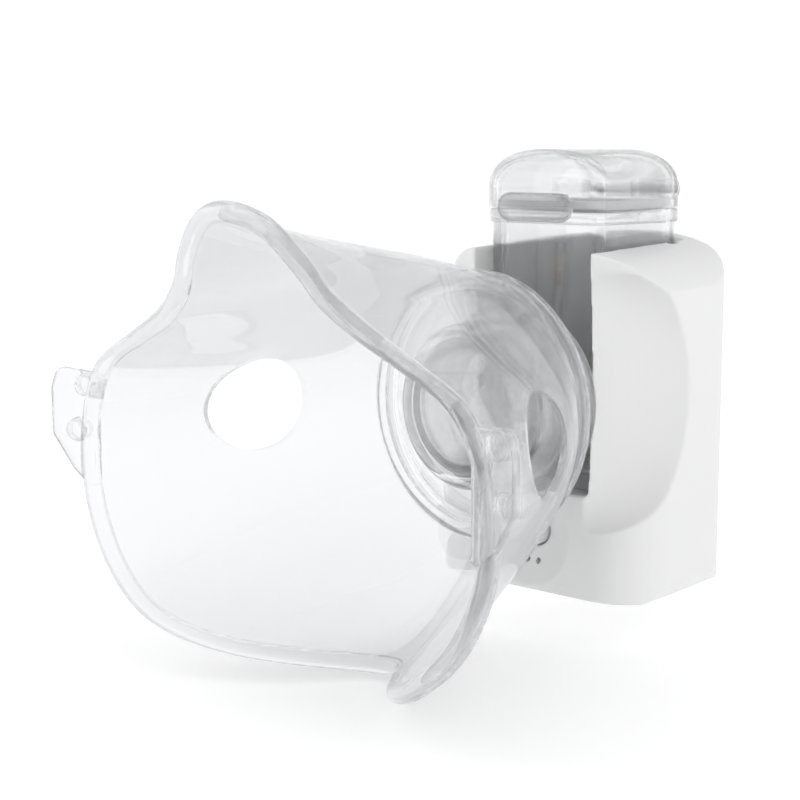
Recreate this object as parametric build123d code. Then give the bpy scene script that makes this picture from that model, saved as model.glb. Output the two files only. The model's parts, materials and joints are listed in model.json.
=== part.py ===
from build123d import *
import math
import os

# Battery mesh nebulizer with a face mask. Millimetres, +Z up, front towards -Y.
# The origin is the middle of the flat underside of the base.

# Base
BASE_W = 59.8           # across the wings
BASE_FRONT_Y = -20.3
BASE_BACK_Y = 18.8
SHOULDER_Z = 67.4       # where the side faces end and the arched top begins
CROWN_Z = 77.4          # top of the arch, at y = 0
CROWN_SLOPE = 0.05      # the top falls this much per mm towards the front
FRONT_CORNER_R = 12.0
BACK_CORNER_R = 12.0
HEEL_R = 12.0           # rounding of the underside at the back
FOOT_R = 3.0            # rounding of the underside at the sides
WALL = 2.2

# Notch that the cup stands in
NOTCH_W = 31.8
NOTCH_FLOOR_Z = 22.8
NOTCH_BACK_Y = 14.6
GROOVE_Y = 9.5          # guide groove on each side wall
GROOVE_W = 3.2
GROOVE_DEPTH = 1.2
GROOVE_FOOT_Z = 38.0

# Nozzle axis, along Y
AXIS_Z = 43.0
COVE_Z = 45.0           # middle height of the hollowed front
COVE_R = 33.4           # sweep of its edge, seen from the side
COVE_Y = -1.5           # deepest point of that edge

# Cup
CUP_W = 30.4
CUP_FRONT_Y = -16.0
CUP_BACK_Y = 14.0
CUP_FOOT_Z = 23.2
CUP_BAND_Z = 80.8
CUP_TOP_Z = 84.0
CUP_WALL = 1.6
CUP_FLOOR_Z = 38.8
CUP_CORNER_R = 2.4
NECK_R = 14.9
NECK_FRONT_Y = -22.3
TUBE_R = 14.7
TUBE_BORE_R = 12.4
TUBE_FRONT_Y = -42.0
SEAT_R = 8.6
SEAT_BACK_Y = -17.0
SEAT_FRONT_Y = -21.2
PASSAGE_R = 3.5

# Lid
LID_BOTTOM_Z = 84.2
LID_TOP_Z = 97.0
LID_SIDE_Z = 88.4       # where the upright sides turn into the arch
LID_HALF_W = 16.4
LID_FRONT_Y = -17.2
LID_BACK_Y = 14.6
LID_CORNER_R = 4.0
LID_WALL = 1.6
HINGE_Y = 17.2
HINGE_Z = 88.0
KNUCKLE_R = 2.3
KNUCKLE_X = 8.4         # half length of the middle knuckle
LUG_X = 11.9            # outer ends of the lid's two lugs
PIN_R = 1.1

# Mask and its connector
NECK_FACE_Y = -38.5     # front face of the connector, where the mask shell starts
CONNECTOR_R = 26.3
MASK_NECK_R = 26.38
MASK_NECK_RING_R = 29.0
MASK_RING_BACK_Y = -36.0
SKIRT_BACK_Y = -34.4
LIP_R = 27.4             # thin lip round the back of the connector
COLLAR_R = 20.4
COLLAR_FRONT_Y = -25.4
SLEEVE_BORE_R = 14.78
SLEEVE_R = 17.5
SHELL_T = 1.4
BEAD_R = 2.0            # rolled rim
# The rim of one half, from nose to chin: angle up from +X, bead centre from the nozzle axis, bead
# centre in front of the neck face, and how far the wall bulges near the neck and near the rim.
RIM = [
    (90, 43.0, 69.4, 2.6, -3.2),
    (78, 41.5, 67.8, 2.4, -3.0),
    (66, 37.5, 65.5, 2.0, -2.2),
    (54, 34.1, 63.0, 2.0, -0.4),
    (38, 35.2, 60.8, 2.6, 0.6),
    (24, 41.0, 60.0, 3.2, 0.0),
    (12, 49.4, 59.8, 3.8, -1.2),
    (-2, 54.0, 59.3, 4.2, -1.8),
    (-18, 56.5, 59.2, 4.2, -1.6),
    (-34, 56.6, 59.0, 3.8, -1.0),
    (-48, 54.6, 57.6, 3.4, -0.4),
    (-62, 52.0, 50.5, 3.2, 0.4),
    (-75, 51.0, 38.0, 3.6, 1.6),
    (-84, 51.2, 28.5, 4.2, 3.0),
    (-90, 51.5, 25.8, 4.4, 3.6),
]
VENT_Y = -64.6
VENT_Z = 42.4
VENT_HALF_Y = 10.7
VENT_HALF_Z = 10.1
# Strap ear: a plate that leans forward, and two pegs behind it
EAR_X = 54.0
EAR_Y = -98.8
EAR_LEAN = 14.0
EAR_T = 1.8
PEGS = [(1.6, 48.3), (4.2, 38.7)]   # distance out along the plate, height
PEG_R = 1.9
PEG_HEAD_R = 2.6
PEG_L = 4.2

# Front controls
BUTTON_Z = 13.4
BUTTON_R = 3.8
LIGHT_Z = 6.1
LIGHT_X = 1.5
DISH_Y = -17.0          # deepest point of the thumb hollow round the button

# Contacts between base and cup
CONTACT_Z = (71.0, 66.6)

# Inside the base
COVER_X = 24.2
COVER_Y0 = -14.2
COVER_Y1 = 6.4
SCREWS = [(x, y) for x in (-21.0, 21.0) for y in (-9.5, 2.8)]
CAVITY_BACK_Y = 16.4
CAVITY_TOP_Z = 20.4
CELL_R = 6.9
CELL_L = 34.0
CELL_Y = 2.4
CELL_Z = 11.6
BOARD_Y = 12.6
SOCKET_Z = 13.0
POST_X = 15.0            # chassis posts that carry the main board
SWITCH_BOARD_Y = -11.6

parts = {}


def y_cylinder(radius, y0, y1, x=0.0, z=AXIS_Z):
    """A cylinder along Y, between two y values."""
    return Pos(x, (y0 + y1) / 2, z) * Rot(90, 0, 0) * Cylinder(radius, abs(y1 - y0))


def x_cylinder(radius, x0, x1, y, z):
    """A cylinder along X, between two x values."""
    return Pos((x0 + x1) / 2, y, z) * Rot(0, 90, 0) * Cylinder(radius, abs(x1 - x0))


def y_ring(outer, inner, y0, y1, x=0.0, z=AXIS_Z):
    """A ring round an axis along Y."""
    return y_cylinder(outer, y0, y1, x, z) - y_cylinder(inner, y0 - 1, y1 + 1, x, z)


def block(x0, x1, y0, y1, z0, z1):
    """A box between two corners."""
    middle = ((x0 + x1) / 2, (y0 + y1) / 2, (z0 + z1) / 2)
    return Pos(*middle) * Box(abs(x1 - x0), abs(y1 - y0), abs(z1 - z0))


def rounded_block(x0, x1, y0, y1, z0, z1, radius):
    """A box whose upright edges are rounded."""
    plan = Pos((x0 + x1) / 2, (y0 + y1) / 2, z0) * RectangleRounded(x1 - x0, y1 - y0, radius)
    return extrude(plan, z1 - z0)


def keep(name, shape):
    """Stores one node of the model."""
    parts[name] = shape


# ---------------------------------------------------------------- base


def base_block():
    """The outside of the base, before the notch and the hollowed front."""
    half = BASE_W / 2
    depth = BASE_BACK_Y - BASE_FRONT_Y
    plan = Pos(0, (BASE_FRONT_Y + BASE_BACK_Y) / 2) * Rectangle(BASE_W, depth)
    body = extrude(plan, CROWN_Z + 5)
    body = fillet(body.edges().filter_by(Axis.Z).sort_by(Axis.Y)[:2], FRONT_CORNER_R)
    body = fillet(body.edges().filter_by(Axis.Z).sort_by(Axis.Y)[-2:], BACK_CORNER_R)
    side = Plane.YZ * Pos(BASE_BACK_Y - 40, 40) * Rectangle(80, 80)
    heel = side.vertices().group_by(Axis.Z)[0].sort_by(Axis.Y)[-1]
    body &= extrude(fillet(heel, HEEL_R), BASE_W, both=True)
    arch = Spline(
        (half, SHOULDER_Z),
        (16.0, CROWN_Z - 1.2),
        (0, CROWN_Z),
        (-16.0, CROWN_Z - 1.2),
        (-half, SHOULDER_Z),
        tangents=((-0.55, 0.84), (-0.55, -0.84)),
    )
    outline = Polyline(
        (-half, SHOULDER_Z),
        (-half, FOOT_R),
        (-half + FOOT_R, 0),
        (half - FOOT_R, 0),
        (half, FOOT_R),
        (half, SHOULDER_Z),
    )
    front = Plane.XZ * make_face(arch + outline)
    front_half = extrude(front, 60, dir=(0, -1, -CROWN_SLOPE))
    back_half = extrude(front, 60, dir=(0, 1, CROWN_SLOPE))
    return body & (front_half + back_half)


def cove_section(z):
    """The space in front of the right wing at one height: a hollow curve from the notch edge to the side face."""
    inner_x = NOTCH_W / 2 - 0.4
    outer_x = BASE_W / 2 + 0.6
    outer_y = COVE_Y - COVE_R + math.sqrt(COVE_R**2 - (z - COVE_Z) ** 2)
    hollow = 0.065 * (outer_y - BASE_FRONT_Y)
    inner = (inner_x, BASE_FRONT_Y - 0.02)
    outer = (outer_x, outer_y)
    middle = ((inner_x + outer_x) / 2 - hollow, (BASE_FRONT_Y + outer_y) / 2 + hollow)
    line = ThreePointArc(inner, middle, outer)
    rest = Polyline(outer, (outer_x + 8, outer_y), (outer_x + 8, BASE_FRONT_Y - 20), (inner_x, BASE_FRONT_Y - 20), inner)
    return Pos(0, 0, z) * make_face(line + rest)


def cove():
    """The cutter that hollows the front of the right wing."""
    return loft([cove_section(z) for z in (15.2, 22.0, 30.0, COVE_Z, 60.0, 71.0)])


def wing_top_cove():
    """Carries the cove on through the arched top."""
    return extrude(cove_section(71.0), 12)


def housing():
    """The white moulded base: two wings, the notch, the hollowed front and the cavities."""
    body = base_block()
    for cutter in (cove(), wing_top_cove()):
        body -= cutter
        body -= mirror(cutter, Plane.YZ)
    hollow_r = 22.0
    body -= Pos(0, DISH_Y - hollow_r, BUTTON_Z - 1.0) * Sphere(hollow_r)
    half = NOTCH_W / 2
    body -= block(-half, half, BASE_FRONT_Y - 5, NOTCH_BACK_Y, NOTCH_FLOOR_Z, CROWN_Z + 20)
    for side in (-1, 1):
        groove_x = side * (half + GROOVE_DEPTH)
        body -= block(
            side * (half - 1), groove_x, GROOVE_Y - GROOVE_W / 2, GROOVE_Y + GROOVE_W / 2, GROOVE_FOOT_Z, CROWN_Z + 20
        )
        body -= block(side * 19.0, side * 26.4, 2.5, 11.5, 18.0, 62.0)
    # lower cavity, with the heel kept thick
    cavity = rounded_block(-27.2, 27.2, -15.2, CAVITY_BACK_Y, WALL, CAVITY_TOP_Z, 9.0)
    heel = Plane.YZ * Pos(CAVITY_BACK_Y - 20, WALL + 20) * Rectangle(40, 40)
    heel_corner = heel.vertices().group_by(Axis.Z)[0].sort_by(Axis.Y)[-1]
    body -= cavity & extrude(fillet(heel_corner, HEEL_R - WALL), 30, both=True)
    # opening for the bottom cover
    body -= rounded_block(-COVER_X, COVER_X, COVER_Y0, COVER_Y1, -1, WALL + 0.01, 3.0)
    # pocket for the contact pins in the left wing
    body -= block(-23.0, -19.0, 6.2, 13.0, 18.0, 73.0)
    for z in CONTACT_Z:
        body -= x_cylinder(1.15, -19.5, -15.0, GROOVE_Y, z)
    # button and light holes
    body -= y_cylinder(BUTTON_R + 0.3, -30, -15.0, 0, BUTTON_Z)
    for side in (-1, 1):
        body -= y_cylinder(0.55, -30, -15.0, side * LIGHT_X, LIGHT_Z)
    # charging socket hole
    body -= Pos(0, 18, SOCKET_Z) * Rot(90, 0, 0) * extrude(RectangleRounded(9.5, 3.7, 1.8), 8, both=True)
    # screw bosses
    for x, y in SCREWS:
        body += Pos(x, y, (WALL + CAVITY_TOP_Z) / 2 + 0.2) * Cylinder(2.5, CAVITY_TOP_Z - WALL)
        body -= Pos(x, y, 6.0) * Cylinder(1.0, 12.0)
    return body


def bottom_cover():
    """Flat plate let into the underside, with countersunk screw holes."""
    gap = 0.15
    plate = rounded_block(-COVER_X + gap, COVER_X - gap, COVER_Y0 + gap, COVER_Y1 - gap, 0, WALL, 2.85)
    for x, y in SCREWS:
        plate -= Pos(x, y, WALL / 2) * Cylinder(1.1, WALL + 2)
        plate -= Pos(x, y, 0.7) * Cylinder(2.0, 1.4)
    return plate


def cover_screws():
    """Four self-tapping screws with cross slots."""
    screws = []
    for x, y in SCREWS:
        screw = Pos(x, y, 0.85) * Cylinder(1.85, 1.0) + Pos(x, y, 5.0) * Cylinder(0.92, 8.0)
        screw -= Pos(x, y, 0.5) * Box(2.2, 0.5, 0.8)
        screw -= Pos(x, y, 0.5) * Box(0.5, 2.2, 0.8)
        screws.append(screw)
    return Compound(children=screws)


def chassis():
    """Inner frame: a floor on the cover, two saddles for the cell, a wall for the front board, posts for the main board."""
    frame = rounded_block(-17.6, 17.6, -9.0, 6.2, WALL, WALL + 1.3, 1.5)
    for side in (-1, 1):
        frame += block(side * 10.0, side * 13.0, -5.5, 10.5, WALL + 1, 8.6)
        frame += block(side * 12.9, side * 16.8, 7.0, BOARD_Y, 4.9, 8.6)
        frame += block(side * POST_X - 1.6, side * POST_X + 1.6, 9.6, BOARD_Y, 4.9, 19.6)
    frame += block(-11.0, 11.0, -10.3, -8.9, WALL, 19.8)
    frame -= x_cylinder(CELL_R + 0.05, -30, 30, CELL_Y, CELL_Z)
    for side in (-1, 1):
        frame -= y_cylinder(0.8, 9.0, BOARD_Y + 1, side * POST_X, 17.6)
    return frame


def battery_cell():
    """Rechargeable cylindrical cell lying across the base."""
    can = x_cylinder(CELL_R, -CELL_L / 2, CELL_L / 2, CELL_Y, CELL_Z)
    can = fillet(can.edges().filter_by(GeomType.CIRCLE), 0.8)
    button = x_cylinder(2.6, CELL_L / 2 - 0.1, CELL_L / 2 + 0.8, CELL_Y, CELL_Z)
    return can + button


def battery_tabs():
    """Nickel strips on the two ends of the cell."""
    right = block(CELL_L / 2 + 0.8, CELL_L / 2 + 1.0, CELL_Y - 2, CELL_Y + 8.8, CELL_Z - 2, CELL_Z + 2)
    left = block(-CELL_L / 2 - 0.2, -CELL_L / 2, CELL_Y - 2, CELL_Y + 8.8, CELL_Z - 2, CELL_Z + 2)
    return Compound(children=[left, right])


def main_board():
    """Control and driver board, upright along the back wall."""
    board = block(-20.5, 20.5, BOARD_Y, BOARD_Y + 1.2, 8.0, 20.0)
    for side in (-1, 1):
        board -= y_cylinder(0.9, BOARD_Y - 1, BOARD_Y + 2, side * POST_X, 17.6)
    return board


def board_chips():
    """Controller, charger, driver coil and a row of capacitors on the main board."""
    chips = [
        block(-4.0, 3.0, BOARD_Y - 1.0, BOARD_Y, 12.8, 19.0),
        block(5.0, 8.0, BOARD_Y - 0.9, BOARD_Y, 14.0, 17.0),
        y_cylinder(2.3, BOARD_Y - 1.6, BOARD_Y, -8.5, 16.8),
    ]
    for number in range(4):
        x = 5.2 + 1.9 * number
        chips.append(block(x, x + 1.2, BOARD_Y - 0.8, BOARD_Y, 10.4, 12.2))
    return Compound(children=chips)


def board_screws():
    """Two small screws that hold the main board to the chassis."""
    screws = []
    for side in (-1, 1):
        screw = y_cylinder(1.4, BOARD_Y + 1.2, BOARD_Y + 2.0, side * POST_X, 17.6)
        screw += y_cylinder(0.72, BOARD_Y - 2.0, BOARD_Y + 1.3, side * POST_X, 17.6)
        screw -= Pos(side * POST_X, BOARD_Y + 2.0, 17.6) * Box(1.9, 0.6, 0.4)
        screws.append(screw)
    return Compound(children=screws)


def charging_socket():
    """Steel shell of the charging socket, with its tongue."""
    shell = extrude(RectangleRounded(8.9, 3.2, 1.55), 4.8)
    shell -= Pos(0, 0, 0.5) * extrude(RectangleRounded(8.3, 2.6, 1.25), 6.0)
    shell += Pos(0, 0, 2.2) * Box(6.6, 0.7, 4.0)
    return Pos(0, BOARD_Y + 1.2, SOCKET_Z) * Rot(-90, 0, 0) * shell


def switch_board():
    """Small front board for the switch and the lights."""
    board = block(-8.0, 8.0, SWITCH_BOARD_Y, SWITCH_BOARD_Y + 1.2, 3.9, 19.6)
    return board


def tact_switch():
    """Tactile switch under the power button."""
    body = block(-3.0, 3.0, SWITCH_BOARD_Y - 1.6, SWITCH_BOARD_Y, BUTTON_Z - 3, BUTTON_Z + 3)
    return body - y_cylinder(1.65, SWITCH_BOARD_Y - 2.6, SWITCH_BOARD_Y - 0.4, 0, BUTTON_Z)


def switch_plunger():
    """The plunger of the tactile switch."""
    return y_cylinder(1.55, SWITCH_BOARD_Y - 2.4, SWITCH_BOARD_Y - 1.2, 0, BUTTON_Z)


def power_button():
    """Round push button with a retaining flange behind the front wall."""
    cap = y_cylinder(BUTTON_R, -18.9, -14.6, 0, BUTTON_Z)
    cap = fillet(cap.edges().sort_by(Axis.Y)[0], 0.7)
    return cap + y_cylinder(BUTTON_R + 0.9, -15.0, SWITCH_BOARD_Y - 2.4, 0, BUTTON_Z)


def indicator_leds():
    """Two small lamps on the front board."""
    lamps = []
    for side in (-1, 1):
        x = side * LIGHT_X
        lamps.append(block(x - 0.5, x + 0.5, SWITCH_BOARD_Y - 0.7, SWITCH_BOARD_Y, LIGHT_Z - 0.6, LIGHT_Z + 0.6))
    return Compound(children=lamps)


def light_guides():
    """Two clear rods from the lamps into the holes of the front wall."""
    rods = []
    for side in (-1, 1):
        rods.append(y_cylinder(0.5, -16.6, SWITCH_BOARD_Y - 0.8, side * LIGHT_X, LIGHT_Z))
    return Compound(children=rods)


def contact_barrels():
    """Two turned sleeves for the sprung pins, pressed into the notch wall from behind."""
    barrels = []
    for z in CONTACT_Z:
        barrel = x_cylinder(1.1, -21.8, -17.2, GROOVE_Y, z) + x_cylinder(1.6, -20.0, -19.05, GROOVE_Y, z)
        barrels.append(barrel - x_cylinder(0.75, -21.4, -17.0, GROOVE_Y, z))
    return Compound(children=barrels)


def contact_flex():
    """Flexible strip that joins the two pins to the boards below."""
    return block(-22.0, -21.8, 7.0, 12.0, 15.0, 72.6)


def contact_plunger(z):
    """One sprung pin, its flat tip just off the cup's contact pad."""
    return x_cylinder(0.7, -19.6, -17.0, GROOVE_Y, z) + x_cylinder(0.45, -17.1, -16.95, GROOVE_Y, z)


# ---------------------------------------------------------------- cup


def medicine_cup():
    """Clear cup: reservoir over a skirt, guide ribs, the neck with its mesh seat, the outlet tube, the hinge bracket."""
    half = CUP_W / 2
    cup = rounded_block(-half, half, CUP_FRONT_Y, CUP_BACK_Y, CUP_FOOT_Z, CUP_TOP_Z, CUP_CORNER_R)
    cup += rounded_block(-half - 0.8, half + 0.8, CUP_FRONT_Y - 0.8, CUP_BACK_Y + 0.8, CUP_BAND_Z, CUP_TOP_Z, CUP_CORNER_R + 0.8)
    cup += y_cylinder(NECK_R, NECK_FRONT_Y, CUP_FRONT_Y + 2.5)
    cup += y_cylinder(TUBE_R, TUBE_FRONT_Y, NECK_FRONT_Y + 1)
    inner = half - CUP_WALL
    cup -= rounded_block(-inner, inner, CUP_FRONT_Y + 3.0, CUP_BACK_Y - CUP_WALL, CUP_FLOOR_Z, CUP_TOP_Z + 1, 1.6)
    skirt_top = 27.6
    cup -= rounded_block(-inner, inner, CUP_FRONT_Y + CUP_WALL, CUP_BACK_Y - CUP_WALL, CUP_FOOT_Z - 1, skirt_top, 1.2)
    cup -= block(-inner, inner, -9.5, CUP_BACK_Y - CUP_WALL, skirt_top - 0.1, CUP_FLOOR_Z - 1.8)
    cup -= y_cylinder(TUBE_BORE_R, TUBE_FRONT_Y - 1, SEAT_FRONT_Y)
    cup -= y_cylinder(SEAT_R, TUBE_FRONT_Y, SEAT_BACK_Y)
    cup -= y_cylinder(PASSAGE_R, TUBE_FRONT_Y, CUP_FRONT_Y + 4.0)
    rib_x = NOTCH_W / 2 + GROOVE_DEPTH - 0.4
    for side in (-1, 1):
        cup += block(side * (half - 0.2), side * rib_x, GROOVE_Y - 1.25, GROOVE_Y + 1.25, GROOVE_FOOT_Z + 0.6, 75.0)
    cup += block(-KNUCKLE_X, KNUCKLE_X, CUP_BACK_Y + 0.4, HINGE_Y + 1.0, CUP_BAND_Z + 0.4, CUP_TOP_Z)
    cup += block(-KNUCKLE_X, KNUCKLE_X, HINGE_Y - 1.0, HINGE_Y + 1.0, CUP_TOP_Z - 1, HINGE_Z)
    cup += x_cylinder(KNUCKLE_R, -KNUCKLE_X, KNUCKLE_X, HINGE_Y, HINGE_Z)
    return cup - x_cylinder(PIN_R + 0.05, -LUG_X, LUG_X, HINGE_Y, HINGE_Z)


def mesh_stack():
    """The parts clamped on the seat in the neck: rear seal, mesh, piezo ring, front seal, retainer."""
    keep("mesh_seal_rear", y_ring(8.4, PASSAGE_R, -18.2, SEAT_BACK_Y))
    dome = y_cylinder(3.0, -18.55, -18.4)
    keep("mesh_plate", y_cylinder(8.0, -18.4, -18.2) + dome)
    keep("piezo_ring", y_ring(8.0, 5.0, -19.4, -18.4))
    keep("mesh_seal_front", y_ring(8.4, 4.6, -20.6, -19.4))
    retainer = y_ring(12.2, 5.2, -23.4, SEAT_FRONT_Y) + y_ring(8.4, 5.2, SEAT_FRONT_Y - 0.1, -20.6)
    for number in range(6):
        angle = math.radians(60 * number)
        retainer -= y_cylinder(1.2, -24, -22.4, 9.8 * math.cos(angle), AXIS_Z + 9.8 * math.sin(angle))
    keep("mesh_retainer", retainer)


def nozzle_collar():
    """Ring round the outlet tube, in front of the base."""
    collar = y_ring(COLLAR_R, TUBE_R + 0.05, -24.2, NECK_FRONT_Y - 0.05)
    return collar + y_ring(COLLAR_R, COLLAR_R - 1.5, COLLAR_FRONT_Y, -24.1)


def contact_pads():
    """Two plated pads on the left guide rib."""
    face_x = -(NOTCH_W / 2 + GROOVE_DEPTH - 0.4)
    pads = []
    for z in CONTACT_Z:
        pads.append(block(face_x - 0.12, face_x, GROOVE_Y - 1.1, GROOVE_Y + 1.1, z - 1.6, z + 1.6))
    return Compound(children=pads)


# ---------------------------------------------------------------- lid


def lid_form(inset, foot_z):
    """The arched outside of the lid, or with an inset its inside, down to a height."""
    half = LID_HALF_W - inset
    top = LID_TOP_Z - inset
    arch = Spline(
        (half, LID_SIDE_Z),
        (0.70 * half, top - 1.9),
        (0, top),
        (-0.70 * half, top - 1.9),
        (-half, LID_SIDE_Z),
        tangents=((0, 1), (0, -1)),
    )
    foot = Polyline((-half, LID_SIDE_Z), (-half, foot_z), (half, foot_z), (half, LID_SIDE_Z))
    front = Plane.XZ.offset(-LID_FRONT_Y - inset) * make_face(arch + foot)
    form = extrude(front, LID_BACK_Y - LID_FRONT_Y - 2 * inset, dir=(0, 1, 0))
    corner_r = LID_CORNER_R - 0.7 * inset
    return form & rounded_block(-half, half, LID_FRONT_Y + inset, LID_BACK_Y - inset, foot_z, LID_TOP_Z + 1, corner_r)


def lid_shell():
    """Clear arched lid with two hinge lugs."""
    lid = lid_form(0, LID_BOTTOM_Z) - lid_form(LID_WALL, LID_BOTTOM_Z - 1)
    for side in (-1, 1):
        lug = x_cylinder(KNUCKLE_R, side * (KNUCKLE_X + 0.3), side * LUG_X, HINGE_Y, HINGE_Z)
        lug += block(side * (KNUCKLE_X + 0.3), side * LUG_X, LID_BACK_Y - 1, HINGE_Y, HINGE_Z - 2.0, HINGE_Z + 2.3)
        lid += lug - x_cylinder(PIN_R + 0.01, side * 8, side * 13, HINGE_Y, HINGE_Z)
    return lid


def lid_seal():
    """Soft frame under the lid that plugs the mouth of the cup."""
    seal = rounded_block(-14.7, 14.7, -15.5, 12.9, LID_BOTTOM_Z + 0.1, LID_BOTTOM_Z + 1.6, 3.4)
    seal += rounded_block(-13.0, 13.0, -12.3, 11.9, CUP_TOP_Z - 1.0, LID_BOTTOM_Z + 0.2, 2.4)
    return seal - rounded_block(-11.4, 11.4, -10.7, 10.3, CUP_TOP_Z - 2, LID_BOTTOM_Z + 3, 1.8)


def lid_latch():
    """Rounded thumb bar on the front of the lid."""
    bar = Pos(0, -17.3, 84.45) * Rot(90, 0, 0) * extrude(RectangleRounded(20.0, 6.3, 3.1), 2.9)
    bar = fillet(bar.edges().group_by(Axis.Y)[0], 1.2)
    return bar + block(-8.0, 8.0, -17.4, -17.2, LID_BOTTOM_Z + 0.4, 87.4)


def hinge_pin():
    """Steel pin of the lid hinge."""
    return x_cylinder(PIN_R, -LUG_X + 0.2, LUG_X - 0.2, HINGE_Y, HINGE_Z)


# ---------------------------------------------------------------- mask


def mask_connector():
    """Clear ring and inner sleeve that carry the mask and push over the outlet tube."""
    sleeve = y_ring(SLEEVE_R, SLEEVE_BORE_R, -42.8, -27.2)
    sleeve = fillet(sleeve.edges().group_by(Axis.Y)[0], 1.0)
    face = y_ring(CONNECTOR_R, SLEEVE_R - 0.5, NECK_FACE_Y, -36.7)
    skirt = y_ring(CONNECTOR_R, CONNECTOR_R - 1.8, NECK_FACE_Y, SKIRT_BACK_Y)
    lip = y_ring(LIP_R, CONNECTOR_R - 1.0, SKIRT_BACK_Y - 1.0, SKIRT_BACK_Y)
    return sleeve + face + skirt + lip


def mask_profile(angle, rim_r, rim_f, neck_bulge, rim_bulge):
    """The wall of the mask cut by a plane through the nozzle axis, with the round bead at its rim."""
    half = SHELL_T / 2
    start = Vector(MASK_NECK_R + half, -0.6)
    bead = Vector(rim_r, rim_f)
    along = (bead - start).normalized()
    outward = Vector(along.Y, -along.X)
    length = (bead - start).length
    first = start + along * (0.3 * length) + outward * neck_bulge
    second = start + along * (0.72 * length) + outward * rim_bulge
    outer_root = bead - along * (0.97 * BEAD_R) + outward * (0.2 * BEAD_R)
    inner_root = bead - along * (0.83 * BEAD_R) - outward * (0.55 * BEAD_R)
    outer = Bezier(start + outward * half, first + outward * half, second + outward * half, outer_root)
    inner = Bezier(start - outward * half, first - outward * half, second - outward * half, inner_root)
    roll = ThreePointArc(outer_root, bead + along * BEAD_R, inner_root)
    base = Line(outer @ 0, inner @ 0)
    radial = (math.cos(math.radians(angle)), 0, math.sin(math.radians(angle)))
    normal = Vector(*radial).cross(Vector(0, -1, 0))
    plane = Plane(origin=(0, NECK_FACE_Y, AXIS_Z), x_dir=radial, z_dir=normal)
    return plane * make_face(Curve() + outer + roll + inner + base)


def strap_ear():
    """Right ear: a leaning plate that runs into the rim, and two headed pegs behind it for the strap."""
    lean = math.radians(EAR_LEAN)
    out = (math.cos(lean), -math.sin(lean), 0)
    front = (-math.sin(lean), -math.cos(lean), 0)
    plane = Plane(origin=(EAR_X, EAR_Y, 0), x_dir=out, z_dir=front)
    outline = make_face(Polyline((-3.0, 51.4), (7.6, 52.2), (9.2, 47.5), (9.2, 38.0), (3.6, 30.6), (-1.0, 27.0), (-3.0, 51.4)))
    corners = outline.vertices().group_by(Axis.X)
    outline = fillet([v for group in corners[2:] for v in group], 2.6)
    ear = plane * extrude(outline, EAR_T / 2, both=True)
    for distance, height in PEGS:
        peg = Pos(distance, height, -PEG_L / 2) * Cylinder(PEG_R, PEG_L)
        head = Pos(distance, height, -PEG_L + 0.9) * Cylinder(PEG_HEAD_R, 1.8)
        head = fillet(head.edges().filter_by(GeomType.CIRCLE), 0.8)
        ear += plane * (peg + head)
    return ear


def mask_shell():
    """Soft face mask in one moulding: dome, rolled rim, neck ring, vents and strap ears."""
    above = [(180 - angle, *rest) for angle, *rest in RIM[2:0:-1]]
    below = [(-180 - angle, *rest) for angle, *rest in RIM[-2:-4:-1]]
    whole = loft([mask_profile(*row) for row in above + RIM + below])
    right = whole & block(0, 90, -130, 0, -40, 120)
    right += strap_ear()
    right -= Pos(45, VENT_Y, VENT_Z) * Rot(0, 90, 0) * extrude(Ellipse(VENT_HALF_Z, VENT_HALF_Y), 25, both=True)
    left = mirror(right, Plane.YZ)
    ring = y_ring(MASK_NECK_RING_R, MASK_NECK_R, NECK_FACE_Y, MASK_RING_BACK_Y)
    return right + left + ring


# ---------------------------------------------------------------- all nodes

keep("housing", housing())
keep("bottom_cover", bottom_cover())
keep("cover_screws", cover_screws())
keep("chassis", chassis())
keep("battery_cell", battery_cell())
keep("battery_tabs", battery_tabs())
keep("main_board", main_board())
keep("board_chips", board_chips())
keep("board_screws", board_screws())
keep("charging_socket", charging_socket())
keep("switch_board", switch_board())
keep("tact_switch", tact_switch())
keep("switch_plunger", switch_plunger())
keep("power_button", power_button())
keep("indicator_leds", indicator_leds())
keep("light_guides", light_guides())
keep("contact_barrels", contact_barrels())
keep("contact_flex", contact_flex())
keep("contact_plunger_upper", contact_plunger(CONTACT_Z[0]))
keep("contact_plunger_lower", contact_plunger(CONTACT_Z[1]))
keep("medicine_cup", medicine_cup())
mesh_stack()
keep("nozzle_collar", nozzle_collar())
keep("contact_pads", contact_pads())
keep("lid_shell", lid_shell())
keep("lid_seal", lid_seal())
keep("lid_latch", lid_latch())
keep("hinge_pin", hinge_pin())
keep("mask_connector", mask_connector())
keep("mask_shell", mask_shell())

os.makedirs("parts", exist_ok=True)
for node_name, node_shape in parts.items():
    export_step(node_shape, f"parts/{node_name}.step")
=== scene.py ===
import json
import math

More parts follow.
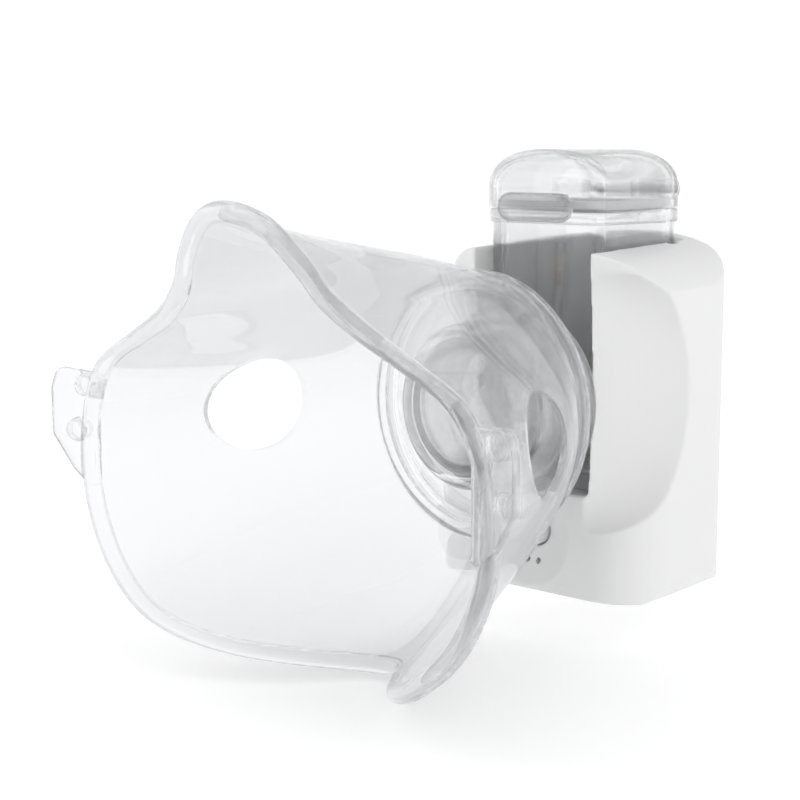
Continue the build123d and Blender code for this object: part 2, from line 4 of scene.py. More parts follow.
import bmesh
import bpy
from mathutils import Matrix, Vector


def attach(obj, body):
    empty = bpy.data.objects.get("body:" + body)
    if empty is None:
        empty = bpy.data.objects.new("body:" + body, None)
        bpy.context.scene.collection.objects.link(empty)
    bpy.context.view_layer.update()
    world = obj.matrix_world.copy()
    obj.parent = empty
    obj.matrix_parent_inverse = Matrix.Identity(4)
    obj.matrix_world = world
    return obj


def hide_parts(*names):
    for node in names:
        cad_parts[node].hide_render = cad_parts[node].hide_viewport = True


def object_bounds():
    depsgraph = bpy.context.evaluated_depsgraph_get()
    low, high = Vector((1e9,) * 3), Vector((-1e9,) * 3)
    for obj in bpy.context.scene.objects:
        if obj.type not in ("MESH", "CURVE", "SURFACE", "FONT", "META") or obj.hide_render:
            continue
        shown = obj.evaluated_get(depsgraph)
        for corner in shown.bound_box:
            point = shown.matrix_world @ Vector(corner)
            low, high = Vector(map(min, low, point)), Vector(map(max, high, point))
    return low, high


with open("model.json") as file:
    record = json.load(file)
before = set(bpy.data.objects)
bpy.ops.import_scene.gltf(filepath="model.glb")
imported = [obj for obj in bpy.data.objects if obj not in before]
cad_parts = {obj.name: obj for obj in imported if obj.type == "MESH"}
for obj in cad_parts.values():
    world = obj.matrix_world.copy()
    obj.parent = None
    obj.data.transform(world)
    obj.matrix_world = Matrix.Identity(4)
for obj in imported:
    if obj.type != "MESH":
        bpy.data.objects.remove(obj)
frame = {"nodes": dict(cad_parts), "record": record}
cad_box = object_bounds()
nodes = frame["nodes"]
scene = bpy.context.scene

MM = 0.001
# Lengths below are in millimetres unless a name or comment says otherwise.
AXIS_Z = 43.0           # height of the nozzle axis
NECK_Y = -38.5          # front face of the connector
CUP_HALF = 15.2
CUP_WALL = 1.6
HINGE_Y = 17.2
HINGE_Z = 88.0
KNUCKLE_R = 2.3
LID_HALF = 16.4
LID_FRONT_Y = -17.2
LID_BACK_Y = 14.6
LID_SIDE_Z = 88.4       # where the sides end and the arch begins
LID_TOP_Z = 97.0
LID_CORNER_R = 4.0
LID_POWER = 2.3         # exponent of the arch: 2 is an ellipse, more is squarer
LAMP_HOLE_X = 1.5
LAMP_HOLE_Z = 6.1
HOUSING_VOXEL = 0.00045  # metres

# ---------------------------------------------------------------- camera

CAMERA_AZIMUTH = math.radians(43.0)
CAMERA_ELEVATION = math.radians(8.26)
CAMERA_PLACE = Vector((0.2387, -0.3175, 0.0976))
CAMERA_LENS = 78.7
CAMERA_CLIP = 0.01


def add_camera():
    """The camera of the main view."""
    data = bpy.data.cameras.new("camera")
    data.lens = CAMERA_LENS
    data.sensor_width = 36.0
    data.clip_start = CAMERA_CLIP
    camera = bpy.data.objects.new("camera", data)
    scene.collection.objects.link(camera)
    back = Vector((
        math.sin(CAMERA_AZIMUTH) * math.cos(CAMERA_ELEVATION),
        -math.cos(CAMERA_AZIMUTH) * math.cos(CAMERA_ELEVATION),
        math.sin(CAMERA_ELEVATION),
    ))
    camera.rotation_euler = (-back).to_track_quat("-Z", "Y").to_euler()
    camera.location = CAMERA_PLACE
    scene.camera = camera


# ---------------------------------------------------------------- light

WORLD_STRENGTH = 1.06
FLOOR_Z = cad_box[0][2] - 0.0005
FLOOR_RADIUS = 14.0     # metres
FLOOR_GLOW = 0.2


def add_area(name, place, target, size, power):
    """A soft rectangular lamp that isn't itself seen in gloss or through clear plastic."""
    data = bpy.data.lights.new(name, "AREA")
    data.shape = "RECTANGLE"
    data.size, data.size_y = size
    data.energy = power
    lamp = bpy.data.objects.new(name, data)
    lamp.location = place
    lamp.rotation_euler = (Vector(target) - Vector(place)).to_track_quat("-Z", "Y").to_euler()
    lamp.visible_glossy = False
    lamp.visible_transmission = False
    scene.collection.objects.link(lamp)


def add_world():
    """A white room, a little darker overhead, so that clear edges read as grey lines."""
    world = bpy.data.worlds.new("room")
    world.use_nodes = True
    tree = world.node_tree
    background = tree.nodes["Background"]
    coordinates = tree.nodes.new("ShaderNodeTexCoord")
    split = tree.nodes.new("ShaderNodeSeparateXYZ")
    ramp = tree.nodes.new("ShaderNodeValToRGB")
    lift = tree.nodes.new("ShaderNodeMapRange")
    lift.inputs["From Min"].default_value = -1.0
    lift.inputs["From Max"].default_value = 1.0
    elements = ramp.color_ramp.elements
    elements[0].position = 0.0
    elements[0].color = (1, 1, 1, 1)
    elements[1].position = 1.0
    elements[1].color = (0.72, 0.72, 0.73, 1)
    for position, value in ((0.62, 1.0), (0.75, 0.8)):
        element = elements.new(position)
        element.color = (value, value, value, 1)
    links = tree.links
    links.new(coordinates.outputs["Generated"], split.inputs[0])
    links.new(split.outputs["Z"], lift.inputs["Value"])
    links.new(lift.outputs["Result"], ramp.inputs[0])
    links.new(ramp.outputs[0], background.inputs["Color"])
    background.inputs["Strength"].default_value = WORLD_STRENGTH
    scene.world = world


def add_studio():
    """Plain pale floor and soft lamps."""
    bpy.ops.mesh.primitive_circle_add(
        vertices=96, radius=FLOOR_RADIUS, fill_type="NGON", location=(0, 0, FLOOR_Z)
    )
    floor = bpy.context.object
    floor.name = "floor"
    floor.data.materials.append(paper())
    add_world()
    add_area("key", (0.75, -0.15, 0.75), (0, -0.03, 0.04), (0.35, 0.5), 1.2)
    add_area("strip", (-0.55, -0.55, 0.55), (0, -0.05, 0.04), (0.10, 0.6), 1.0)


# ---------------------------------------------------------------- materials


def new_material(name):
    """An empty material, its shader and its node tree."""
    material = bpy.data.materials.new(name)
    material.use_nodes = True
    tree = material.node_tree
    return material, tree.nodes["Principled BSDF"], tree


def noise(tree, scale, detail=3.0, roughness=0.55):
    """A noise texture in object space."""
    coordinates = tree.nodes.new("ShaderNodeTexCoord")
    texture = tree.nodes.new("ShaderNodeTexNoise")
    texture.inputs["Scale"].default_value = scale
    texture.inputs["Detail"].default_value = detail
    texture.inputs["Roughness"].default_value = roughness
    tree.links.new(coordinates.outputs["Object"], texture.inputs["Vector"])
    return texture.outputs["Fac"]


def span(tree, value, low, high, target):
    """Maps a 0 to 1 value to a range and feeds a socket with it."""
    mapper = tree.nodes.new("ShaderNodeMapRange")
    mapper.inputs["From Min"].default_value = 0.3
    mapper.inputs["From Max"].default_value = 0.7
    mapper.inputs["To Min"].default_value = low
    mapper.inputs["To Max"].default_value = high
    tree.links.new(value, mapper.inputs["Value"])
    tree.links.new(mapper.outputs["Result"], target)


def bump(tree, value, shader, strength, distance):
    """Turns a value into a bump on the shader."""
    node = tree.nodes.new("ShaderNodeBump")
    node.inputs["Strength"].default_value = strength
    node.inputs["Distance"].default_value = distance
    tree.links.new(value, node.inputs["Height"])
    tree.links.new(node.outputs["Normal"], shader.inputs["Normal"])


def tone(tree, value, dark, light, target):
    """A colour that wanders between two tones."""
    mix = tree.nodes.new("ShaderNodeMix")
    mix.data_type = "RGBA"
    mix.inputs["A"].default_value = (*dark, 1)
    mix.inputs["B"].default_value = (*light, 1)
    tree.links.new(value, mix.inputs["Factor"])
    tree.links.new(mix.outputs["Result"], target)


def paper():
    """The pale floor: matt white, with a little light of its own so that it runs into the room."""
    material, shader, tree = new_material("floor")
    tone(tree, noise(tree, 2), (0.96, 0.96, 0.96), (0.98, 0.98, 0.98), shader.inputs["Base Color"])
    shader.inputs["Roughness"].default_value = 0.9
    shader.inputs["Emission Color"].default_value = (1, 1, 1, 1)
    shader.inputs["Emission Strength"].default_value = FLOOR_GLOW
    return material


def moulded(name, colour, roughness, grain=0.00004, grain_scale=2600, metallic=0.0, spread=0.03):
    """Moulded or coated stock: a slow drift in tone, uneven sheen and a fine grain."""
    material, shader, tree = new_material(name)
    shader.inputs["Metallic"].default_value = metallic
    slow = noise(tree, 38)
    dark = tuple(max(0.0, c * (1 - spread)) for c in colour)
    tone(tree, slow, dark, colour, shader.inputs["Base Color"])
    span(tree, noise(tree, 300), roughness - 0.04, roughness + 0.05, shader.inputs["Roughness"])
    bump(tree, noise(tree, grain_scale, 2), shader, 0.25, grain)
    return material


def clear(name, colour, roughness, ior, ripple, share):
    """Clear plastic: refracting gloss with faint ripples, and a share that lets light straight through."""
    material, shader, tree = new_material(name)
    shader.inputs["Transmission Weight"].default_value = 1.0
    shader.inputs["IOR"].default_value = ior
    dark = tuple(c * 0.985 for c in colour)
    drift = noise(tree, 30)
    tone(tree, drift, dark, colour, shader.inputs["Base Color"])
    span(tree, noise(tree, 120), roughness, roughness + 0.02, shader.inputs["Roughness"])
    bump(tree, noise(tree, 55, 1), shader, 0.25, ripple)
    straight = tree.nodes.new("ShaderNodeBsdfTransparent")
    tone(tree, drift, dark, colour, straight.inputs["Color"])
    mix = tree.nodes.new("ShaderNodeMixShader")
    mix.inputs["Fac"].default_value = share
    tree.links.new(shader.outputs["BSDF"], mix.inputs[1])
    tree.links.new(straight.outputs["BSDF"], mix.inputs[2])
    tree.links.new(mix.outputs["Shader"], tree.nodes["Material Output"].inputs["Surface"])
    return material


SLOTS = {
    "white_plastic": moulded("white_plastic", (0.80, 0.80, 0.80), 0.42),
    # inner_plastic is a greyer white than the housing: on the cup cradle lining the notch this grey is
    # painted shade of the notch interior.
    "inner_plastic": moulded("inner_plastic", (0.72, 0.72, 0.70), 0.5),
    "button_plastic": moulded("button_plastic", (0.74, 0.75, 0.77), 0.35),
    "clear_plastic": clear("clear_plastic", (0.975, 0.977, 0.98), 0.01, 1.42, 0.00003, 0.38),
    "clear_pvc": clear("clear_pvc", (0.905, 0.908, 0.915), 0.02, 1.42, 0.00009, 0.33),
    "silicone": moulded("silicone", (0.78, 0.79, 0.80), 0.55, 0.00003),
    "screw_steel": moulded("screw_steel", (0.62, 0.62, 0.64), 0.30, 0.00001, 3000, 1.0),
    "nickel": moulded("nickel", (0.72, 0.70, 0.66), 0.26, 0.00001, 3000, 1.0),
    "gold_plate": moulded("gold_plate", (0.83, 0.65, 0.32), 0.24, 0.00001, 3000, 1.0),
    "circuit_board": moulded("circuit_board", (0.05, 0.22, 0.12), 0.35, 0.00003, 1800, 0.0, 0.25),
    "flex_strip": moulded("flex_strip", (0.60, 0.34, 0.10), 0.3, 0.00002, 1500, 0.0, 0.2),
    "chip_black": moulded("chip_black", (0.03, 0.03, 0.033), 0.5, 0.00003, 4000, 0.0, 0.3),
    "cell_sleeve": moulded("cell_sleeve", (0.10, 0.24, 0.42), 0.35, 0.00003, 900, 0.0, 0.15),
    "ceramic": moulded("ceramic", (0.74, 0.71, 0.64), 0.6, 0.00003, 5000),
    "lamp_white": moulded("lamp_white", (0.86, 0.80, 0.55), 0.25, 0.00001),
    "light_guide": moulded("light_guide", (0.06, 0.06, 0.065), 0.15, 0.00001, 2600, 0.0, 0.3),
}
BODY_OF = {}
for body_name, members in frame["record"]["behaviour"]["bodies"].items():
    for member in members:
        BODY_OF[member] = body_name
SLOT_OF = {}
for row in frame["record"]["subparts"]:
    SLOT_OF[row["node"]] = row["material_slot"]
    node = nodes[row["node"]]
    node.data.materials.clear()
    node.data.materials.append(SLOTS[row["material_slot"]])
    for polygon in node.data.polygons:
        polygon.use_smooth = True
    node.data.set_sharp_from_angle(angle=math.radians(32))


# ---------------------------------------------------------------- mesh helpers

RIM_STEPS = 4           # steps in a rounded rim


def build(name, points, faces):
    """A mesh object from points in millimetres."""
    mesh = bpy.data.meshes.new(name)
    mesh.from_pydata([(x * MM, y * MM, z * MM) for x, y, z in points], [], faces)
    shape = bmesh.new()
    shape.from_mesh(mesh)
    bmesh.ops.recalc_face_normals(shape, faces=shape.faces)
    shape.to_mesh(mesh)
    shape.free()
    piece = bpy.data.objects.new(name, mesh)
    scene.collection.objects.link(piece)
    return piece


def skin(name, loops, closed=False):
    """A solid through loops of equal length: capped at its ends, or closed on itself."""
    count = len(loops[0])
    points = [point for loop in loops for point in loop]
    faces = []
    rows = len(loops) if closed else len(loops) - 1
    for row in range(rows):
        here = row * count
        there = (row + 1) % len(loops) * count
        for step in range(count):
            after = (step + 1) % count
            faces.append((here + step, here + after, there + after, there + step))
    if not closed:
        faces.append(tuple(range(count)))
        faces.append(tuple(range((len(loops) - 1) * count, len(loops) * count)))
    return build(name, points, faces)


def combine(piece, tool, operation):
    """Joins a tool to a piece, or cuts it out, and removes the tool."""
    modifier = piece.modifiers.new("combine", "BOOLEAN")
    modifier.operation = operation
    modifier.solver = "EXACT"
    modifier.object = tool
    bpy.context.view_layer.update()
    graph = bpy.context.evaluated_depsgraph_get()
    mesh = bpy.data.meshes.new_from_object(piece.evaluated_get(graph))
    piece.modifiers.clear()
    piece.data = mesh
    bpy.data.objects.remove(tool)
    return piece


def smooth(piece, angle=35):
    """Smooth shading with sharp edges above an angle."""
    for polygon in piece.data.polygons:
        polygon.use_smooth = True
    piece.data.set_sharp_from_angle(angle=math.radians(angle))


def finish_piece(piece, *replaced, angle=35):
    """Gives a piece its material and its body, and hides the CAD nodes that it stands for."""
    slot = SLOT_OF[replaced[0]]
    piece.data.materials.clear()
    piece.data.materials.append(SLOTS[slot])
    smooth(piece, angle)
    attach(piece, BODY_OF[replaced[0]])
    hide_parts(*replaced)
    return piece


def soften(corners, radii, steps=4, inset=0.0):
    """A closed polygon with rounded corners, pushed in by an inset."""
    outline = []
    count = len(corners)
    area = 0.0
    for (x0, y0), (x1, y1) in zip(corners, corners[1:] + corners[:1]):
        area += x0 * y1 - x1 * y0
    turn = 1 if area > 0 else -1
    for index in range(count):
        before = Vector(corners[index - 1])
        here = Vector(corners[index])
        after = Vector(corners[(index + 1) % count])
        enter = (here - before).normalized()
        leave = (after - here).normalized()
        enter_normal = Vector((-enter.y, enter.x)) * turn
        leave_normal = Vector((-leave.y, leave.x)) * turn
        cosine = max(-1.0, min(1.0, enter.dot(leave)))
        bend = math.acos(cosine)
        convex = (enter.x * leave.y - enter.y * leave.x) * turn > 0
        half = math.tan(bend / 2)
        corner = here + (enter_normal + leave_normal) * (inset / (1 + cosine))
        radius = max(0.02, radii[index] + (-inset if convex else inset))
        first = corner - enter * (radius * half)
        centre = first + (enter_normal if convex else -enter_normal) * radius
        start = first - centre
        for step in range(steps + 1):
            angle = bend * step / steps * (turn if convex else -turn)
            spun = Vector((
                start.x * math.cos(angle) - start.y * math.sin(angle),
                start.x * math.sin(angle) + start.y * math.cos(angle),
            ))
            outline.append(tuple(centre + spun))
    return outline


def lathe(name, profile, segments=144, x=0.0, z=AXIS_Z):
    """A ring turned about an axis along Y from a closed outline of (radius, y)."""
    loops = []
    for segment in range(segments):
        angle = math.tau * segment / segments
        loops.append([(x + r * math.cos(angle), y, z + r * math.sin(angle)) for r, y in profile])
    return skin(name, loops, closed=True)


def rod(name, radius, start, end, along, centre, edge=0.3, segments=64):
    """A cylinder with rounded rims along X or Y. The centre gives the other two coordinates."""
    rows = [(radius - edge, start)]
    direction = 1 if end > start else -1
    for step in range(1, RIM_STEPS + 1):
        angle = math.radians(90 * step / RIM_STEPS)
        place = start + direction * edge * (1 - math.cos(angle))
        rows.append((radius - edge + edge * math.sin(angle), place))
    for step in range(RIM_STEPS + 1):
        angle = math.radians(90 * step / RIM_STEPS)
        place = end - direction * edge * (1 - math.sin(angle))
        rows.append((radius - edge + edge * math.cos(angle), place))
    loops = []
    for r, place in rows:
        loop = []
        for segment in range(segments):
            angle = math.tau * segment / segments
            first, second = centre[0] + r * math.cos(angle), centre[1] + r * math.sin(angle)
            loop.append((place, first, second) if along == "X" else (first, place, second))
        loops.append(loop)
    return skin(name, loops)


def slab(name, corners, radii, low, high, edge, plane, steps=5):
    """A rounded polygon given thickness, its rims rounded too.

    The plane turns (a, b, height) into a point.
    """
    loops = []
    for step in range(RIM_STEPS + 1):
        angle = math.radians(90 * step / RIM_STEPS)
        outline = soften(corners, radii, steps, edge * (1 - math.sin(angle)))
        loops.append([plane(a, b, low + edge * (1 - math.cos(angle))) for a, b in outline])
    for step in range(RIM_STEPS + 1):
        angle = math.radians(90 * step / RIM_STEPS)
        outline = soften(corners, radii, steps, edge * (1 - math.cos(angle)))
        loops.append([plane(a, b, high - edge * (1 - math.sin(angle))) for a, b in outline])
    return skin(name, loops)


def box_slab(name, x0, x1, y0, y1, z0, z1, radius, edge, steps=6):
    """An upright block with rounded corners and rims."""
    corners = [(x0, y0), (x1, y0), (x1, y1), (x0, y1)]
    return slab(name, corners, [radius] * 4, z0, z1, edge, lambda a, b, h: (a, b, h), steps)


# ---------------------------------------------------------------- mask

BEAD_R = 2.0
SHELL_T = 1.4
MASK_NECK_R = 26.38
VENT_Y = -64.6
VENT_Z = 42.4
VENT_HALF_Y = 10.7
VENT_HALF_Z = 10.1
EAR_X = 54.0
EAR_Y = -98.8
EAR_LEAN = math.radians(14.0)
PEGS = ((1.6, 48.3), (4.2, 38.7))  # distance out, height
# The neck ring: radius, distance in front of the neck face.
NECK_RING = [
    (26.38, -0.4),
    (26.38, -2.1),
    (26.5, -2.4),
    (26.8, -2.5),
    (28.5, -2.5),
    (28.85, -2.35),
    (29.0, -2.0),
    (29.0, -0.8),
    (28.93, -0.35),
    (28.75, -0.1),
    (28.5, 0.0),
]
# One half of the rim from nose to chin: angle up from +X, bead centre from the nozzle axis, bead
# centre in front of the neck face, bulge of the wall near the neck and near the rim.
RIM = [
    (90, 43.0, 69.4, 2.6, -3.2),
    (78, 41.5, 67.8, 2.4, -3.0),
    (66, 37.5, 65.5, 2.0, -2.2),
    (54, 34.1, 63.0, 2.0, -0.4),
    (38, 35.2, 60.8, 2.6, 0.6),
    (24, 41.0, 60.0, 3.2, 0.0),
    (12, 49.4, 59.8, 3.8, -1.2),
    (-2, 54.0, 59.3, 4.2, -1.8),
    (-18, 56.5, 59.2, 4.2, -1.6),
    (-34, 56.6, 59.0, 3.8, -1.0),
    (-48, 54.6, 57.6, 3.4, -0.4),
    (-62, 52.0, 50.5, 3.2, 0.4),
    (-75, 51.0, 38.0, 3.6, 1.6),
    (-84, 51.2, 28.5, 4.2, 3.0),
    (-90, 51.5, 25.8, 4.4, 3.6),
]
RIM_ROWS = [(180 - r[0], *r[1:]) for r in RIM[2:0:-1]] + RIM + [(-180 - r[0], *r[1:]) for r in RIM[-2:-4:-1]]


def rim_at(angle):
    """The four rim values at any angle, on a smooth curve through the rows, the same on both sides."""
    angle = (angle + 180) % 360 - 180
    if angle > 90:
        angle = 180 - angle
    if angle < -90:
        angle = -180 - angle
    index = 1
    while RIM_ROWS[index + 1][0] > angle:
        index += 1
    p0, p1, p2, p3 = RIM_ROWS[index - 1:index + 3]
    width = p2[0] - p1[0]
    t = (angle - p1[0]) / width
    values = []
    for k in range(1, 5):
        slope1 = (p2[k] - p0[k]) / (p2[0] - p0[0]) * width
        slope2 = (p3[k] - p1[k]) / (p3[0] - p1[0]) * width
        values.append(
            (2 * t**3 - 3 * t**2 + 1) * p1[k]
            + (t**3 - 2 * t**2 + t) * slope1
            + (-2 * t**3 + 3 * t**2) * p2[k]
            + (t**3 - t**2) * slope2
        )
    return values


def bezier(p0, p1, p2, p3, t):
    """A point on a cubic curve."""
    u = 1 - t
    return p0 * u**3 + p1 * (3 * u * u * t) + p2 * (3 * u * t * t) + p3 * t**3


def mask_section(angle, wall_steps=26, bead_steps=20):
    """The closed outline of the mask wall at one angle, as (radius, distance in front of the neck face)."""
    rim_r, rim_f, neck_bulge, rim_bulge = rim_at(angle)
    start = Vector((MASK_NECK_R + SHELL_T / 2, -0.6))
    bead = Vector((rim_r, rim_f))
    along = (bead - start).normalized()
    outward = Vector((along.y, -along.x))
    length = (bead - start).length
    first = start + along * (0.3 * length) + outward * neck_bulge
    second = start + along * (0.72 * length) + outward * rim_bulge
    outer_root = bead - along * (0.97 * BEAD_R) + outward * (0.2 * BEAD_R)
    inner_root = bead - along * (0.83 * BEAD_R) - outward * (0.55 * BEAD_R)
    shift = outward * (SHELL_T / 2)
    outline = [Vector(point) for point in NECK_RING]
    for step in range(1, wall_steps + 1):
        t = 0.02 + 0.98 * step / wall_steps
        outline.append(bezier(start + shift, first + shift, second + shift, outer_root, t))
    turn0 = math.atan2((outer_root - bead).dot(outward), (outer_root - bead).dot(along))
    turn1 = math.atan2((inner_root - bead).dot(outward), (inner_root - bead).dot(along))
    for step in range(1, bead_steps):
        turn = turn0 + (turn1 - turn0) * step / bead_steps
        outline.append(bead + (along * math.cos(turn) + outward * math.sin(turn)) * BEAD_R)
    for step in range(wall_steps, 0, -1):
        outline.append(bezier(start - shift, first - shift, second - shift, inner_root, step / wall_steps))
    return outline


def ear_plane(side):
    """Turns (distance out, height, towards the face) on the leaning ear plate into a point."""
    def place(out, height, front):
        x = EAR_X + out * math.cos(EAR_LEAN) - front * math.sin(EAR_LEAN)
        y = EAR_Y - out * math.sin(EAR_LEAN) - front * math.cos(EAR_LEAN)
        return (side * x, y, height)

    return place


def turned_peg(name, place, out, height):
    """A strap peg behind the ear: a stem and a mushroom head."""
    profile = [(1.9, 0.0), (1.9, -2.0), (2.05, -2.3), (2.45, -2.45), (2.6, -2.75), (2.6, -3.2), (2.45, -3.65)]
    profile += [(2.05, -3.98), (1.4, -4.16), (0.7, -4.2)]
    loops = []
    for radius, depth in profile:
        loop = []
        for segment in range(40):
            angle = math.tau * segment / 40
            loop.append(place(out + radius * math.cos(angle), height + radius * math.sin(angle), depth))
        loops.append(loop)
    return skin(name, loops)


def build_mask():
    """The soft mask: dome, rolled rim, neck ring, strap ears with pegs, and two breathing vents."""
    loops = []
    for step in range(288):
        angle = 360 * step / 288
        turn = math.radians(angle)
        loops.append([
            (p.x * math.cos(turn), NECK_Y - p.y, AXIS_Z + p.x * math.sin(turn)) for p in mask_section(angle)
        ])
    mask = skin("soft_mask", loops, closed=True)
    corners = [(-3.0, 51.4), (7.6, 52.2), (9.2, 47.5), (9.2, 38.0), (3.6, 30.6), (-1.0, 27.0), (-3.0, 28.0)]
    for side in (-1, 1):
        place = ear_plane(side)
        ear = slab("ear", corners, [0.6, 2.6, 2.6, 3.2, 4.5, 2.0, 0.6], -0.9, 0.9, 0.6, place)
        combine(mask, ear, "UNION")
        for out, height in PEGS:
            combine(mask, turned_peg("peg", place, out, height), "UNION")
        cutter = []
        for x in (20.0, 72.0):
            loop = []
            for segment in range(96):
                angle = math.tau * segment / 96
                y = VENT_Y + VENT_HALF_Y * math.cos(angle)
                loop.append((side * x, y, VENT_Z + VENT_HALF_Z * math.sin(angle)))
            cutter.append(loop)
        combine(mask, skin("vent_cutter", cutter), "DIFFERENCE")
    finish_piece(mask, "mask_shell", angle=42)


def build_connector():
    """The clear connector: inner sleeve, front face, skirt and lip in one ring."""
    corners = [(14.78, -27.2), (14.78, -42.8), (17.5, -42.8), (17.5, NECK_Y), (26.3, NECK_Y), (26.3, -35.4)]
    corners += [(27.4, -35.4), (27.4, -34.4), (24.5, -34.4), (24.5, -36.7), (17.5, -36.7), (17.5, -27.2)]
    radii = [0.3, 1.2, 1.3, 0.5, 0.5, 0.3, 0.4, 0.4, 0.4, 0.6, 0.5, 0.3]
    ring = lathe("connector_ring", soften(corners, radii))
    finish_piece(ring, "mask_connector")


def build_collar():
    """The clear collar round the outlet tube."""
    corners = [(14.75, -22.35), (14.75, -24.2), (18.9, -24.2), (18.9, -25.4), (20.4, -25.4), (20.4, -22.35)]
    ring = lathe("outlet_collar", soften(corners, [0.2, 0.3, 0.4, 0.5, 0.6, 0.6]))
    finish_piece(ring, "nozzle_collar")


# ---------------------------------------------------------------- cup and lid


def build_cup():
    """The clear cup with its band, ribs, neck, outlet tube and hinge knuckle."""
    half = CUP_HALF
    cup = box_slab("clear_cup", -half, half, -16.0, 14.0, 23.2, 84.0, 2.4, 0.35)
    band = box_slab("band", -half - 0.8, half + 0.8, -16.8, 14.8, 80.8, 84.0, 3.2, 0.7)
    combine(cup, band, "UNION")
    combine(cup, rod("neck", 14.9, -22.3, -13.5, "Y", (0, AXIS_Z), 0.4, 112), "UNION")
    combine(cup, rod("tube", 14.7, -42.0, -21.0, "Y", (0, AXIS_Z), 0.5, 112), "UNION")
    for side in (-1, 1):
        x0, x1 = sorted((side * (half - 0.2), side * 16.7))
        combine(cup, box_slab("rib", x0, x1, 8.25, 10.75, 38.6, 75.0, 0.3, 0.3, 3), "UNION")
    combine(cup, box_slab("bracket", -8.4, 8.4, 14.4, 18.2, 81.2, 84.0, 0.5, 0.4, 3), "UNION")
    combine(cup, box_slab("upright", -8.4, 8.4, 16.2, 18.2, 83.0, 88.0, 0.3, 0.2, 3), "UNION")
    combine(cup, rod("knuckle", KNUCKLE_R, -8.4, 8.4, "X", (HINGE_Y, HINGE_Z), 0.4, 48), "UNION")
    inner = half - CUP_WALL
    combine(cup, box_slab("room", -inner, inner, -13.0, 12.4, 38.8, 86.0, 1.6, 1.4), "DIFFERENCE")
    combine(cup, box_slab("foot", -inner, inner, -14.4, 12.4, 20.0, 27.6, 1.2, 0.6), "DIFFERENCE")
    combine(cup, box_slab("under", -inner, inner, -9.5, 12.4, 26.0, 37.0, 1.2, 0.8), "DIFFERENCE")
    combine(cup, rod("bore", 12.4, -45.0, -21.2, "Y", (0, AXIS_Z), 0.4, 112), "DIFFERENCE")
    combine(cup, rod("seat", 8.6, -24.0, -17.0, "Y", (0, AXIS_Z), 0.2, 80), "DIFFERENCE")
    combine(cup, rod("passage", 3.5, -20.0, -11.0, "Y", (0, AXIS_Z), 0.2, 48), "DIFFERENCE")
    combine(cup, rod("pin_hole", 1.15, -12.0, 12.0, "X", (HINGE_Y, HINGE_Z), 0.1, 32), "DIFFERENCE")
    finish_piece(cup, "medicine_cup", angle=30)


def lid_loop(y, half, side_z, top, foot, steps=40):
    """The arch of the lid across X at one y."""
    points = [(half, y, foot), (half, y, foot + 0.5 * (side_z - foot))]
    for step in range(steps + 1):
        angle = math.pi * step / steps
        c, s = math.cos(angle), math.sin(angle)
        x = math.copysign(abs(c) ** (2 / LID_POWER), c) * half
        points.append((x, y, side_z + (top - side_z) * abs(s) ** (2 / LID_POWER)))
    points += [(-half, y, foot + 0.5 * (side_z - foot)), (-half, y, foot)]
    return points


def lid_solid(name, inset, foot, rim):
    """The lid's outside, or with an inset its inside: an arch with rounded ends."""
    half, top = LID_HALF - inset, LID_TOP_Z - inset
    front, back = LID_FRONT_Y + inset, LID_BACK_Y - inset
    corner = LID_CORNER_R - 0.7 * inset
    depths = [0.0]
    while depths[-1] < corner - 1e-6:
        depths.append(min(corner, depths[-1] + max(0.08, 0.35 * depths[-1])))
    rows = []
    for depth in depths:
        side = corner - math.sqrt(max(0.0, corner**2 - (corner - depth) ** 2))
        drop = rim - math.sqrt(max(0.0, rim**2 - max(0.0, rim - depth) ** 2))
        rows.append((depth, side, drop))
    ends = [(front + d, s, p) for d, s, p in rows] + [(back - d, s, p) for d, s, p in reversed(rows)]
    return skin(name, [lid_loop(y, half - s, LID_SIDE_Z - 0.5 * p, top - p, foot) for y, s, p in ends])


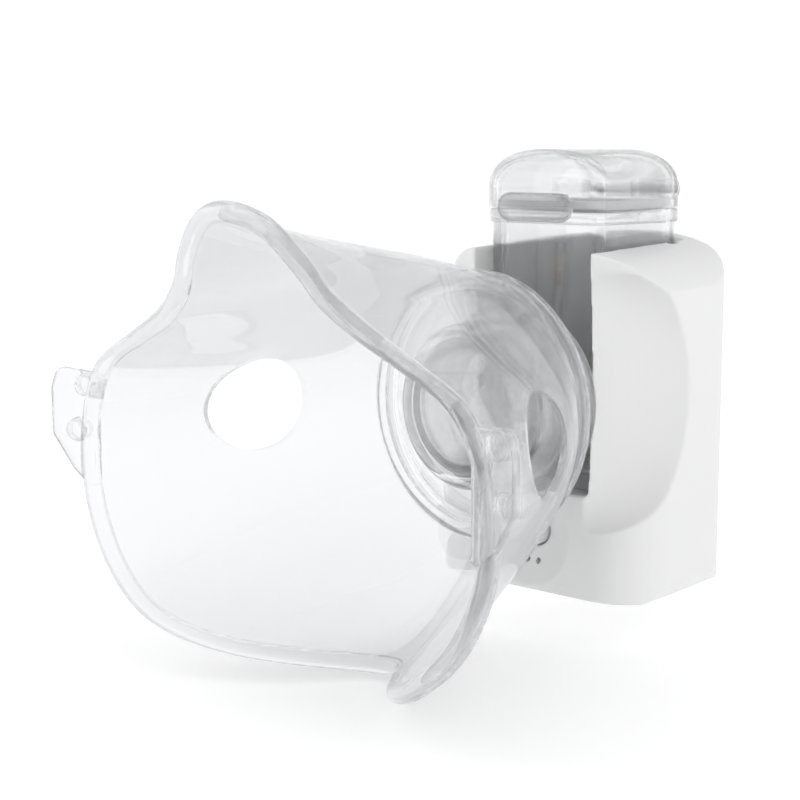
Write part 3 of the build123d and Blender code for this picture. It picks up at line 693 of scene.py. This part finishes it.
def build_lid():
    """The clear arched lid with its hinge lugs."""
    lid = lid_solid("clear_lid", 0.0, 84.2, 2.2)
    for side in (-1, 1):
        x0, x1 = sorted((side * 8.7, side * 11.9))
        combine(lid, rod("lug", KNUCKLE_R, x0, x1, "X", (HINGE_Y, HINGE_Z), 0.4, 48), "UNION")
        combine(lid, box_slab("arm", x0, x1, 13.6, HINGE_Y, 86.0, 90.25, 0.4, 0.4, 3), "UNION")
    combine(lid, lid_solid("lid_room", 1.6, 82.0, 1.6), "DIFFERENCE")
    combine(lid, rod("pin_hole", 1.12, -12.5, 12.5, "X", (HINGE_Y, HINGE_Z), 0.1, 32), "DIFFERENCE")
    finish_piece(lid, "lid_shell", angle=30)


def build_latch():
    """The rounded thumb bar on the front of the lid."""
    corners = [(-10.0, 81.3), (10.0, 81.3), (10.0, 87.6), (-10.0, 87.6)]
    bar = slab("latch_bar", corners, [3.1] * 4, 17.3, 20.2, 1.3, lambda a, b, h: (a, -h, b), 10)
    tongue = box_slab("tongue", -8.0, 8.0, -17.6, -17.2, 84.6, 87.4, 0.1, 0.1, 2)
    combine(bar, tongue, "UNION")
    finish_piece(bar, "lid_latch", angle=40)


# ---------------------------------------------------------------- base


def build_housing():
    """The white base with the soft edges of a moulding."""
    piece = bpy.data.objects.new("white_base", nodes["housing"].data.copy())
    scene.collection.objects.link(piece)
    shape = bmesh.new()
    shape.from_mesh(piece.data)
    bmesh.ops.remove_doubles(shape, verts=shape.verts, dist=1e-6)
    shape.to_mesh(piece.data)
    shape.free()
    remesh = piece.modifiers.new("remesh", "REMESH")
    remesh.mode = "VOXEL"
    remesh.voxel_size = HOUSING_VOXEL
    relax = piece.modifiers.new("relax", "SMOOTH")
    relax.factor = 0.5
    relax.iterations = 5
    bpy.context.view_layer.update()
    graph = bpy.context.evaluated_depsgraph_get()
    mesh = bpy.data.meshes.new_from_object(piece.evaluated_get(graph))
    piece.modifiers.clear()
    piece.data = mesh
    for x in (-LAMP_HOLE_X, LAMP_HOLE_X):
        hole = rod("lamp_hole", 0.72, -26.0, -15.3, "Y", (x, LAMP_HOLE_Z), 0.05, 32)
        combine(piece, hole, "DIFFERENCE")
    finish_piece(piece, "housing", angle=60)


# ---------------------------------------------------------------- the scene

add_camera()
add_studio()
build_mask()
build_connector()
build_collar()
build_cup()
build_lid()
build_latch()
build_housing()
scene.view_settings.view_transform = "Standard"
scene.cycles.max_bounces = 32
scene.cycles.diffuse_bounces = 8
scene.cycles.transmission_bounces = 32
scene.cycles.transparent_max_bounces = 24
